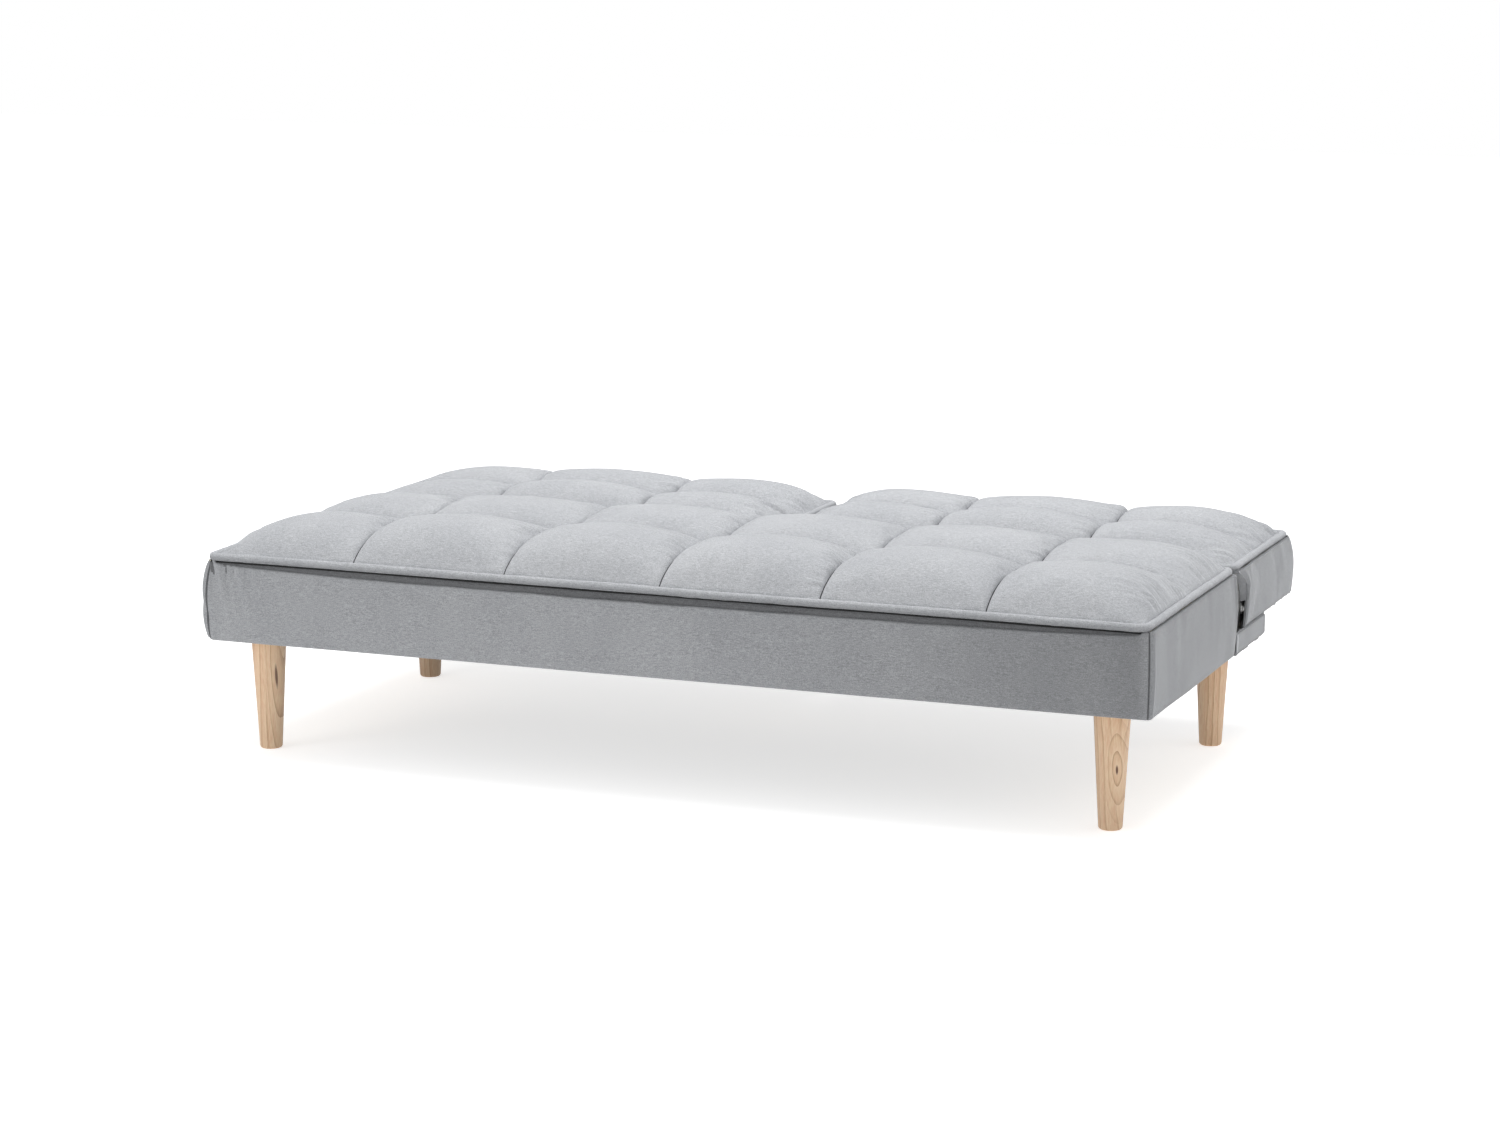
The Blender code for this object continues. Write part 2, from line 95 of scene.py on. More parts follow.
# How strongly the floor and the backdrop light the object, and how strongly they show to the camera.
CAST_LIGHT = 0.60
SEEN_LIGHT = 1.0


# Arithmetic for soft shapes


class Noise:
    """Smooth value noise in two directions, the same on each run: call it with positions in cells."""

    def __init__(self, seed, size=128):
        self.table = np.random.default_rng(seed).uniform(-1, 1, (size, size))
        self.size = size

    def __call__(self, x, y=0.0):
        x, y = np.broadcast_arrays(np.asarray(x, float), np.asarray(y, float))
        column, row = np.floor(x).astype(int), np.floor(y).astype(int)
        fx, fy = x - column, y - row
        fx, fy = fx * fx * (3 - 2 * fx), fy * fy * (3 - 2 * fy)

        def at(i, j):
            return self.table[(column + i) % self.size, (row + j) % self.size]

        low = at(0, 0) * (1 - fx) + at(1, 0) * fx
        high = at(0, 1) * (1 - fx) + at(1, 1) * fx
        return low * (1 - fy) + high * fy


def smooth(low, high, value):
    """0 below low, 1 above high, and an even turn between."""
    t = np.clip((value - low) / (high - low), 0, 1)
    return t * t * (3 - 2 * t)


def fade(distance, reach):
    """1 at a seam, falling smoothly away from it."""
    return np.exp(-((distance / reach) ** 2))


def inner_edges(low, high, inset):
    """The (left, right) and (front, rear) of a box, drawn in by inset."""
    return (low[0] + inset, high[0] - inset), (low[1] + inset, high[1] - inset)


def clustered(seams, step, close=(0.0, 0.0011, 0.0026, 0.0048, 0.008, 0.0125, 0.0185)):
    """Grid lines between the first and last seam: crowded at each seam, and a step apart elsewhere."""
    lines = []
    for low, high in zip(seams, seams[1:]):
        middle_low, middle_high = low + close[-1], high - close[-1]
        count = max(2, round((middle_high - middle_low) / step))
        lines += [low + c for c in close[:-1]]
        lines += list(np.linspace(middle_low, middle_high, count + 1))
        lines += [high - c for c in reversed(close[1:-1])]
    return np.array([*lines, seams[-1]])


# Meshes


def mesh_object(name, points, faces, material):
    mesh = bpy.data.meshes.new(name)
    mesh.from_pydata([tuple(p) for p in points], [], faces)
    mesh.materials.append(material)
    mesh.update()
    mesh.shade_smooth()
    obj = bpy.data.objects.new(name, mesh)
    bpy.context.scene.collection.objects.link(obj)
    return obj


def grid_faces(rows, columns, wrap_rows=False, wrap_columns=False):
    """Quads over a grid of points held row by row."""
    faces = []
    for j in range(rows if wrap_rows else rows - 1):
        for i in range(columns if wrap_columns else columns - 1):
            right, up = (i + 1) % columns, (j + 1) % rows
            faces.append((j * columns + i, j * columns + right, up * columns + right, up * columns + i))
    return faces


def thicken(obj, thickness):
    """Gives a sheet of fabric its thickness, on the inner side."""
    shell = obj.modifiers.new("fabric_thickness", "SOLIDIFY")
    shell.thickness = thickness
    shell.offset = -1
    return obj


# Materials


class Graph:
    """A short way to write a material's nodes."""

    def __init__(self, name):
        self.material = bpy.data.materials.new(name)
        self.material.use_nodes = True
        self.tree = self.material.node_tree
        self.shader = self.tree.nodes["Principled BSDF"]
        self.place = self.add("ShaderNodeTexCoord").outputs["Object"]

    def add(self, kind, **settings):
        node = self.tree.nodes.new(kind)
        for key, value in settings.items():
            setattr(node, key, value)
        return node

    def link(self, start, end):
        self.tree.links.new(start, end)

    def axis(self, name):
        node = self.add("ShaderNodeSeparateXYZ")
        self.link(self.place, node.inputs["Vector"])
        return node.outputs[name]

    def stretched(self, scale, turn=(0, 0, 0), shift=(0, 0, 0)):
        node = self.add("ShaderNodeMapping")
        node.inputs["Scale"].default_value = scale
        node.inputs["Rotation"].default_value = turn
        node.inputs["Location"].default_value = shift
        self.link(self.place, node.inputs["Vector"])
        return node.outputs["Vector"]

    def noise(self, scale, detail=2.0, where=None, roughness=0.5, distortion=0.0):
        node = self.add("ShaderNodeTexNoise")
        node.inputs["Scale"].default_value = scale
        node.inputs["Detail"].default_value = detail
        node.inputs["Roughness"].default_value = roughness
        node.inputs["Distortion"].default_value = distortion
        self.link(where or self.place, node.inputs["Vector"])
        return node.outputs["Fac"]

    def rings(self, direction, where, scale, distortion, detail_scale):
        """Growth rings round one axis."""
        node = self.add("ShaderNodeTexWave", wave_type="RINGS", rings_direction=direction, wave_profile="SAW")
        node.inputs["Scale"].default_value = scale
        node.inputs["Distortion"].default_value = distortion
        node.inputs["Detail"].default_value = 2.0
        node.inputs["Detail Scale"].default_value = detail_scale
        self.link(where, node.inputs["Vector"])
        return node.outputs["Fac"]

    def cells(self, scale):
        node = self.add("ShaderNodeTexVoronoi")
        node.inputs["Scale"].default_value = scale
        self.link(self.place, node.inputs["Vector"])
        return node.outputs["Distance"]

    def ramp(self, value, *stops):
        """Colours, or greys, at places from 0 to 1."""
        node = self.add("ShaderNodeValToRGB")
        elements = node.color_ramp.elements
        while len(elements) < len(stops):
            elements.new(0.5)
        for element, (position, colour) in zip(elements, stops):
            element.position = position
            grey = isinstance(colour, (int, float))
            element.color = (colour, colour, colour, 1) if grey else (*colour, 1)
        self.link(value, node.inputs["Fac"])
        return node.outputs["Color"]

    def mix(self, factor, first, second, blend="MIX"):
        node = self.add("ShaderNodeMix", data_type="RGBA", blend_type=blend)
        sockets = (node.inputs["Factor"], node.inputs[6], node.inputs[7])
        for socket, value in zip(sockets, (factor, first, second)):
            if isinstance(value, (int, float)):
                socket.default_value = value
            elif isinstance(value, tuple):
                socket.default_value = (*value, 1)
            else:
                self.link(value, socket)
        return node.outputs[2]

    def math(self, operation, first, second=0.0):
        node = self.add("ShaderNodeMath", operation=operation)
        for socket, value in zip(node.inputs, (first, second)):
            if isinstance(value, (int, float)):
                socket.default_value = value
            else:
                self.link(value, socket)
        return node.outputs[0]

    def bump(self, height, distance, strength=1.0, under=None):
        node = self.add("ShaderNodeBump")
        node.inputs["Distance"].default_value = distance
        node.inputs["Strength"].default_value = strength
        self.link(height, node.inputs["Height"])
        if under:
            self.link(under, node.inputs["Normal"])
        return node.outputs["Normal"]

    def finish(self, colour, roughness, normal=None, **settings):
        for name, value in (("Base Color", colour), ("Roughness", roughness), ("Normal", normal)):
            if value is None:
                continue
            if isinstance(value, (int, float)):
                self.shader.inputs[name].default_value = value
            else:
                self.link(value, self.shader.inputs[name])
        for name, value in settings.items():
            self.shader.inputs[name.replace("_", " ")].default_value = value
        return self.material


def velvet(name, shade_tone=1.0, streak=(1.0, 1.0, 1.0), right_shade=False, shaded_underside=False):
    """Short-pile plush: faint patches where the pile is laid differently, a fine mottled nap and a soft sheen
    at grazing angles.

    A tone below 1 darkens the cloth: painted shade, on the borders as well as in the seams and under the
    piping.
    The right-side flag darkens the seat's border towards the right of its front: painted shade.
    The underside flag darkens the piping's underside: painted shade.
    """
    g = Graph(name)
    patches = g.noise(7.5, 4.0, g.stretched(streak), 0.6, 0.3)
    nap = g.noise(640.0, 3.0, None, 0.75)
    weave = g.noise(1.0, 2.0, g.stretched((110.0, 640.0, 640.0)), 0.6)
    # painted shade: a tone below 1 darkens the cloth's colour
    low, high = (tuple(shade_tone * c for c in shade) for shade in ((0.425, 0.435, 0.455), (0.470, 0.480, 0.498)))
    base = g.ramp(patches, (0.32, low), (0.68, high))
    mottled = g.mix(0.58, base, g.ramp(nap, (0.34, 0.26), (0.66, 0.74)), "OVERLAY")
    fine = g.mix(0.36, mottled, g.ramp(weave, (0.34, 0.32), (0.66, 0.68)), "OVERLAY")
    # painted shade: the seat's border is darkened towards the right of its front
    if right_shade:
        along = g.math("MULTIPLY_ADD", g.axis("X"), 0.5 / HALF_WIDTH)
        along.node.inputs[2].default_value = 0.5
        right_shade_ramp = g.ramp(along, (0.0, 0.98), (0.5, 1.0), (0.72, 0.90), (0.92, 0.74), (0.984, 0.68), (0.994, 0.83))
        fine = g.mix(1.0, fine, right_shade_ramp, "MULTIPLY")
    # painted shade: the piping's cover is darkened on its underside
    if shaded_underside:
        up = g.math("MULTIPLY_ADD", g.axis("Z"), 0.5 / PIPING_RADIUS)
        up.node.inputs[2].default_value = 0.5 - PIPING_Z * 0.5 / PIPING_RADIUS
        fine = g.mix(1.0, fine, g.ramp(up, (0.05, 0.50), (0.42, 0.66), (0.72, 0.92), (0.95, 1.0)), "MULTIPLY")
    dents = g.bump(g.noise(38.0, 3.0, None, 0.6), 0.0012, 0.20)
    pile = g.bump(nap, 0.0008, 0.45, dents)
    relief = g.bump(weave, 0.0004, 0.30, pile)
    return g.finish(
        fine,
        g.ramp(patches, (0.3, 0.88), (0.7, 0.80)),
        relief,
        Sheen_Weight=1.0,
        Sheen_Roughness=0.22,
        Sheen_Tint=(0.95, 0.97, 1.0, 1.0),
        Specular_IOR_Level=0.2,
    )


def turned_wood(name, shift, turn, streak, shade_tone=1.0, knot=None):
    """Pale lacquered hardwood: growth rings cut on a taper, fine pores and a darker mineral streak.

    knot gives the (x, z) of a small knot, which the grain runs round in loops, and how drawn out they are.
    A tone below 1 darkens the wood: painted shade.
    """
    g = Graph(name)
    heart = g.stretched((1.0, 1.0, 0.16), turn, shift)
    growth = g.rings("Z", heart, 26.0, 5.0, 1.3)
    pores = g.noise(1.0, 4.0, g.stretched((900.0, 900.0, 28.0)), 0.6)
    blush = g.noise(1.0, 2.0, g.stretched((14.0, 14.0, 5.0), (0, 0, 0), shift))
    early, late, edge = (0.74, 0.55, 0.37), (0.68, 0.47, 0.30), (0.50, 0.31, 0.18)
    rings = g.ramp(growth, (0.0, early), (0.72, late), (1.0, edge))
    if knot:
        knot_x, knot_z, drawn = knot
        around = g.stretched((1.0, 0.0, drawn), (0, 0, 0), (-knot_x, 0, -knot_z * drawn))
        loops = g.rings("Y", around, 44.0, 3.2, 0.8)
        reach = g.add("ShaderNodeVectorMath", operation="LENGTH")
        g.link(around, reach.inputs[0])
        near = g.math("MULTIPLY", reach.outputs["Value"], 40.0)
        early, late, edge = (0.76, 0.57, 0.39), (0.69, 0.49, 0.31), (0.47, 0.29, 0.17)
        looped = g.ramp(loops, (0.0, early), (0.76, late), (1.0, edge))
        rings = g.mix(g.ramp(near, (0.35, 1.0), (1.0, 0.0)), rings, looped)
        rings = g.mix(g.ramp(near, (0.045, 1.0), (0.085, 0.0)), rings, (0.13, 0.05, 0.03))
    base = g.mix(g.ramp(blush, (0.35, 0.0), (0.75, 0.45)), rings, (0.80, 0.60, 0.42))
    grained = g.mix(0.35, base, g.ramp(pores, (0.36, 0.22), (0.62, 0.62)), "OVERLAY")
    mineral = g.noise(1.0, 2.0, g.stretched((55.0, 55.0, 5.0), (0, 0, 0), streak))
    colour = g.mix(g.ramp(mineral, (0.70, 0.0), (0.80, 0.75)), grained, (0.20, 0.10, 0.06))
    relief = g.bump(pores, 0.0004, 0.35)
    # painted shade: a tone below 1 darkens the leg's whole colour
    shaded = g.mix(1.0, colour, (shade_tone, shade_tone, shade_tone), "MULTIPLY")
    return g.finish(shaded, g.ramp(pores, (0.3, 0.50), (0.7, 0.38)), relief, Specular_IOR_Level=0.45)


def sawn_wood(name):
    g = Graph(name)
    grain = g.noise(1.0, 4.0, g.stretched((9.0, 160.0, 160.0)), 0.6, 0.4)
    colour = g.ramp(grain, (0.25, (0.42, 0.28, 0.15)), (0.55, (0.62, 0.45, 0.27)), (0.8, (0.72, 0.56, 0.36)))
    return g.finish(colour, 0.7, g.bump(grain, 0.0006, 0.4))


def zinc_steel(name):
    g = Graph(name)
    bright, dull = (0.62, 0.63, 0.63), (0.46, 0.47, 0.48)
    spangle = g.ramp(g.cells(260.0), (0, bright), (1, dull))
    scratches = g.noise(1.0, 3.0, g.stretched((900.0, 60.0, 900.0)), 0.6)
    colour = g.mix(0.5, spangle, (0.6, 0.6, 0.59))
    rough = g.ramp(scratches, (0.3, 0.28), (0.7, 0.46))
    return g.finish(colour, rough, g.bump(scratches, 0.0002, 0.3), Metallic=1.0)


def cut_foam(name):
    g = Graph(name)
    pores = g.noise(700.0, 3.0, None, 0.7)
    colour = g.ramp(pores, (0.3, (0.55, 0.48, 0.30)), (0.6, (0.83, 0.77, 0.56)))
    return g.finish(colour, 0.95, g.bump(pores, 0.0012, 0.7))


def strap_webbing(name):
    g = Graph(name)
    ribs = g.add("ShaderNodeTexWave", bands_direction="DIAGONAL")
    ribs.inputs["Scale"].default_value = 240.0
    g.link(g.place, ribs.inputs["Vector"])
    colour = g.ramp(ribs.outputs["Fac"], (0.2, (0.16, 0.12, 0.08)), (0.8, (0.36, 0.28, 0.19)))
    return g.finish(colour, 0.9, g.bump(ribs.outputs["Fac"], 0.0006, 0.6))


def black_cloth(name):
    g = Graph(name)
    fibres = g.noise(300.0, 3.0, None, 0.7)
    colour = g.ramp(fibres, (0.3, 0.012), (0.7, 0.032))
    return g.finish(colour, 0.9, g.bump(g.cells(480.0), 0.0006, 0.5))


def seen_strength(tree, cast, seen):
    """A strength for what the lens sees, and another for the light that is cast on the object."""
    path, strength = tree.nodes.new("ShaderNodeLightPath"), tree.nodes.new("ShaderNodeMapRange")
    strength.inputs["To Min"].default_value, strength.inputs["To Max"].default_value = cast, seen
    tree.links.new(path.outputs["Is Camera Ray"], strength.inputs["Value"])
    return strength.outputs["Result"]


def soft_white(name):
    """A studio floor: matt white and glowing, more so far from the lamps, so that it meets the backdrop."""
    g = Graph(name)
    distance = g.add("ShaderNodeVectorMath", operation="LENGTH")
    g.link(g.place, distance.inputs[0])
    glow = g.ramp(g.math("MULTIPLY", distance.outputs["Value"], 0.1), (0.25, 0.62), (0.75, 1.0))
    g.link(glow, g.shader.inputs["Emission Color"])
    g.link(seen_strength(g.tree, CAST_LIGHT, SEEN_LIGHT), g.shader.inputs["Emission Strength"])
    return g.finish(g.ramp(g.noise(1.5), (0.0, 0.78), (1.0, 0.8)), 0.9)


VELVET = velvet("velvet_top")
# painted shade: the borders are the top's velvet darkened by a lower tone
BORDER_SHADE_VELVET = velvet("velvet_border_painted_shade", 0.61, (1.3, 1.3, 0.5))
# painted shade: the seat's border is the top's velvet darkened, more towards the right of its front
SEAT_BORDER_SHADE_VELVET = velvet("velvet_seat_border_painted_shade", 0.73, (1.3, 1.3, 0.5), right_shade=True)
# painted shade: a dark copy of the velvet for the faces along the quilting seams
SEAM_SHADE_VELVET = velvet("velvet_seam_shade", 0.16)
# painted shade: a dark copy of the velvet for the faces along the borders' corner seams
CORNER_SEAM_SHADE_VELVET = velvet("velvet_corner_seam_shade", 0.26)
# painted shade: the piping's velvet is darkened on its underside
PIPING_SHADE_VELVET = velvet("velvet_piping", 1.0, shaded_underside=True)
# painted shade: a dark copy of the velvet for the strip under the front piping
SHADED_VELVET = velvet("velvet_underlay_painted_shade", 0.30)
# painted shadow: black cloth for the shadowed upper fold of the strip under the front piping
SHADOW_LINING = black_cloth("black_painted_shadow_lining")
WOOD = sawn_wood("sawn_wood")
STEEL = zinc_steel("zinc_steel")
CAD_MATERIALS = {
    "velvet": BORDER_SHADE_VELVET,
    "piping": PIPING_SHADE_VELVET,
    "underlay": SHADED_VELVET,
    "dust_cloth": black_cloth("black_cloth"),
    "frame_wood": WOOD,
    "foam": cut_foam("cut_foam"),
    "webbing": strap_webbing("strap_webbing"),
    "steel": STEEL,
}


def dress_cad_nodes():
    """Every CAD piece gets its material; legs get one each, so that no two show the same grain.

    The rear left leg's wood is darker than the others', for the shade that it stands in. The backrest's end and
    front rails are wrapped in the border's fabric, since they show round the hinges.
    """
    grains = {
        "leg_front_right": ((0.021, 0.030, 0.01), (0.16, 0.07, 0.3), (3.1, 1.2, 0.4)),
        "leg_front_left": ((-0.05, 0.034, 0.2), (0.05, 0.10, 1.1), (0.4, 2.2, 1.7)),
        "leg_rear_right": ((0.036, -0.027, 0.4), (0.10, -0.08, 2.0), (5.2, 0.3, 0.9)),
        "leg_rear_left": ((-0.03, -0.04, 0.7), (-0.09, 0.06, 0.6), (7.7, 4.1, 0.2)),
    }
    marks = {
        "leg_front_right": {"knot": (0.825, 0.109, 0.22)},
        "leg_front_left": {"knot": (-0.786, 0.140, 0.08)},
        # painted shade: the rear left leg's wood is darkened for the shade it stands in
        "leg_rear_left": {"shade_tone": 0.6},
    }
    for entry in frame["record"]["subparts"]:
        node, slot = entry["node"], entry["material_slot"]
        if node in grains:
            material = turned_wood(f"wood_{node}", *grains[node], **marks.get(node, {}))
        elif node.startswith("back_") and node.endswith(("_outer_rail", "_inner_rail", "_front_rail")):
            material = BORDER_SHADE_VELVET
        else:
            material = CAD_MATERIALS[slot]
        frame["nodes"][node].material_slots[0].material = material


# Quilted pads


class Quilt:
    """The shape of a quilted pad: cells that puff up between seams, and sides that fall to the piping.

    columns and rows are the seams' places, ends included. crests gives the height of each cell's middle, row
    by row. seam is the height along a column seam between two rows, and knot the height where seams cross.
    sides gives (reach, sharpness) of the fall to the piping at the front, rear, left and right.
    """

    def __init__(self, columns, rows, crests, seam, knot, sides):
        self.columns, self.rows = np.array(columns), np.array(rows)
        self.crests = np.array(crests)
        self.seam, self.knot, self.sides = seam, knot, sides

    def cell(self, seams, value):
        """The cell a value is in, and its place there from -1 to 1."""
        index = np.clip(np.searchsorted(seams, value, side="right") - 1, 0, len(seams) - 2)
        low, high = seams[index], seams[index + 1]
        return index, (value - low) / (high - low) * 2 - 1

    def arc(self, index, place, last):
        """1 in the middle of a cell and 0 at its seams: a pad's outer cells stay full up to the piping."""
        flat_start = (index == 0) & (place < 0)
        flat_end = (index == last) & (place > 0)
        bow = 1 - np.abs(place) ** 2.1
        return np.where(flat_start | flat_end, 1 - 0.35 * np.abs(place) ** 2.6, bow)

    def points(self, xs, ys, lowered=0.0):
        """The pad's top over a grid. lowered makes the cells flatter, for the cloth to swell from."""
        x, y = np.meshgrid(xs, ys)
        column, u = self.cell(self.columns, x)
        row, v = self.cell(self.rows, y)
        across = self.arc(column, u, len(self.columns) - 2)
        along = self.arc(row, v, len(self.rows) - 2)
        crest = self.crests[row, column]
        level = self.knot + (self.seam - self.knot) * along
        level = level + (crest - lowered - self.seam) * across * (0.78 + 0.22 * along)
        rise = np.ones_like(x)
        distances = (y - self.rows[0], self.rows[-1] - y, x - self.columns[0], self.columns[-1] - x)
        for distance, (reach, sharpness) in zip(distances, self.sides):
            rise = rise * (1 - (1 - np.clip(distance / reach, 0, 1)) ** 2.1) ** sharpness
        z = PAD_EDGE + (level - PAD_EDGE) * rise
        for seams, value, depth, width in ((self.columns, x, 0.0140, 0.0048), (self.rows, y, 0.0150, 0.0058)):
            for seam in seams[1:-1]:
                z = z - depth * np.exp(-np.abs((value - seam) / width) ** 0.8) * rise**0.6
        return np.stack([x, y, z], axis=-1)


def add_gathers(points, quilt, noise):
    """Sharp little folds that run inwards from the piping at both ends and along the column seams."""
    x, y = points[..., 0], points[..., 1]
    for seam, way, height, reach in (
        (quilt.columns[-1], -1, 0.0062, 0.052),
        (quilt.columns[0], 1, 0.0036, 0.036),
        *((seam, -1, 0.0046, 0.026) for seam in quilt.columns[1:-1]),
    ):
        away = (x - seam) * way
        lean = y + 0.25 * away
        folds = np.abs(noise(lean / 0.0115 + seam * 31, away / 0.07)) - 0.40
        folds = folds + 0.6 * (np.abs(noise(lean / 0.0062 + seam * 47, away / 0.04)) - 0.40)
        strength = fade(np.maximum(away - 0.2 * reach, 0), reach) * smooth(0.0, 0.22 * reach, away)
        uneven = np.clip(0.55 + 0.75 * noise(y / 0.085 + seam * 11, 5.5), 0.15, 1.0)
        points[..., 2] += 2.4 * height * folds * strength * uneven
    return points


def closed_pad(name, points, floor, seam_lines):
    """Turns the top of a pad into a closed body with short sides and a flat underside.

    seam_lines are the (rows, columns) of the grid that run along a seam: the faces beside them get a dark
    velvet, painted shade in the seams.
    """
    rows, columns = points.shape[:2]
    top = points.reshape(-1, 3)
    ring = [(0, i) for i in range(columns)]
    ring += [(j, columns - 1) for j in range(1, rows)]
    ring += [(rows - 1, i) for i in range(columns - 2, -1, -1)]
    ring += [(j, 0) for j in range(rows - 2, 0, -1)]
    rim = [j * columns + i for j, i in ring]
    below = top[rim].copy()
    below[:, 2] = floor
    start = len(top)
    faces = grid_faces(rows, columns)
    count = len(rim)
    for k in range(count):
        after = (k + 1) % count
        faces.append((rim[after], rim[k], start + k, start + after))
    faces.append(tuple(start + k for k in reversed(range(count))))
    pad = mesh_object(name, np.concatenate([top, below]), faces, VELVET)
    # painted shade: faces beside the seams get the dark seam velvet
    pad.data.materials.append(SEAM_SHADE_VELVET)
    for j in range(rows - 1):
        for i in range(columns - 1):
            if {j, j + 1} & seam_lines[0] or {i, i + 1} & seam_lines[1]:
                pad.data.polygons[j * (columns - 1) + i].material_index = 1
    return pad


def cloth_lines(seams):
    """Grid lines for the cloth, with one on each seam."""
    spans = [np.linspace(a, b, max(2, round((b - a) / CLOTH_STEP)) + 1) for a, b in zip(seams, seams[1:])]
    return np.unique(np.concatenate(spans))


def inflate(xs, ys, quilt):
    """Lets a coarse copy of the pad's top swell as cloth, held at its seams, and carries the change over."""
    points = quilt.points(xs, ys, CLOTH_RISE)
    coarse_x, coarse_y = cloth_lines(quilt.columns), cloth_lines(quilt.rows)
    start = quilt.points(coarse_x, coarse_y, CLOTH_RISE)
    sheet = mesh_object("cloth", start.reshape(-1, 3), grid_faces(len(coarse_y), len(coarse_x)), VELVET)
    held = [
        j * len(coarse_x) + i
        for j, y in enumerate(coarse_y)
        for i, x in enumerate(coarse_x)
        if np.abs(quilt.columns - x).min() < 1e-6 or np.abs(quilt.rows - y).min() < 1e-6
    ]
    sheet.vertex_groups.new(name="held").add(held, 1.0, "REPLACE")
    cloth = sheet.modifiers.new("cloth", "CLOTH").settings
    cloth.vertex_group_mass = "held"
    cloth.quality = 6
    cloth.mass = 0.25
    cloth.tension_stiffness = cloth.compression_stiffness = 18
    cloth.bending_stiffness = 0.12
    cloth.use_pressure = True
    cloth.uniform_pressure_force = CLOTH_PRESSURE
    cloth.shrink_min = -CLOTH_SPARE
    cloth.effector_weights.gravity = 0
    for number in range(1, CLOTH_FRAMES + 1):
        bpy.context.scene.frame_set(number)
    settled = sheet.evaluated_get(bpy.context.evaluated_depsgraph_get()).to_mesh()
    after = np.array([v.co for v in settled.vertices]).reshape(start.shape)
    bpy.context.scene.frame_set(1)
    bpy.data.objects.remove(sheet)
    moved = after - start
    length = np.linalg.norm(moved, axis=-1, keepdims=True)
    moved *= np.minimum(1, CLOTH_CAP / np.maximum(length, 1e-9))
    across = np.stack([[np.interp(xs, coarse_x, line[:, k]) for k in range(3)] for line in moved])
    for i in range(len(xs)):
        for k in range(3):
            points[:, i, k] += np.interp(ys, coarse_y, across[:, k, i])
    return points


def quilted_pad(name, quilt, body, node, seed):
    xs, ys = clustered(quilt.columns, 0.0075), clustered(quilt.rows, 0.0026)
    points = inflate(xs, ys, quilt)
    points = add_gathers(points, quilt, Noise(seed + 50))
    seam_lines = tuple(
        set(np.flatnonzero(np.isin(lines, seams[1:-1])).tolist())
        for lines, seams in ((ys, quilt.rows), (xs, quilt.columns))
    )
    pad = closed_pad(name, points, PANEL_TOP + 0.0006, seam_lines)
    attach(pad, body)
    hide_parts(node)


SEAT_CRESTS = ((0.436, 0.448, 0.452, 0.450, 0.448, 0.443), (0.428, 0.437, 0.440, 0.441, 0.440, 0.434))
BACK_CRESTS = {
    "left": ((0.420, 0.434, 0.427), (0.418, 0.426, 0.424)),
    "right": ((0.430, 0.438, 0.430), (0.425, 0.428, 0.428)),
}


def seat_pad():
    (left, right), (front, rear) = inner_edges(SEAT_PIPING_LOW, SEAT_PIPING_HIGH, PAD_INSET)
    columns = [left, *(COLUMN * k + 0.003 for k in (-2, -1, 0, 1, 2)), right]
    sides = ((0.125, 0.55), (0.110, 0.55), (0.170, 0.70), (0.130, 0.40))
    rows = [front, (front + rear) / 2, rear]
    quilt = Quilt(columns, rows, SEAT_CRESTS, seam=0.424, knot=0.399, sides=sides)
    quilted_pad("seat_quilted_pad", quilt, "base", "seat_cushion", 3)


def back_pad(side, sign):
    (near, far), (front, rear) = inner_edges(BACK_PIPING_LOW, BACK_PIPING_HIGH, PAD_INSET)
    columns = sorted(sign * x for x in (near, COLUMN, 2 * COLUMN, far))
    outer, inner = (0.160, 0.62) if sign > 0 else (0.210, 0.72), (0.130, 0.60)
    ends = (inner, outer) if sign > 0 else (outer, inner)
    sides = ((0.110, 0.80), (0.095, 0.50), *ends)
    rows = [front, (front + rear) / 2, rear]
    quilt = Quilt(columns, rows, BACK_CRESTS[side], seam=0.411, knot=0.388, sides=sides)
    quilted_pad(f"back_{side}_quilted_pad", quilt, f"back_{side}", f"back_{side}_cushion", 20 + sign)


# Piping


def rounded_loop(x, y, corner, step):
    """Points round a rectangle with rounded corners, evenly spaced, anticlockwise seen from above."""
    pieces = []
    for cx, cy, start in (
        (x[1] - corner, y[0] + corner, -math.pi / 2),
        (x[1] - corner, y[1] - corner, 0.0),
        (x[0] + corner, y[1] - corner, math.pi / 2),
        (x[0] + corner, y[0] + corner, math.pi),
    ):
        turn = np.linspace(start, start + math.pi / 2, 9)
        pieces.append(np.stack([cx + corner * np.cos(turn), cy + corner * np.sin(turn)], axis=1))
    outline = np.concatenate(pieces)
    closed = np.concatenate([outline, outline[:1]])
    run = np.concatenate([[0], np.cumsum(np.linalg.norm(np.diff(closed, axis=0), axis=1))])
    even = np.linspace(0, run[-1], round(run[-1] / step), endpoint=False)
    return np.stack([np.interp(even, run, closed[:, 0]), np.interp(even, run, closed[:, 1])], axis=1), even


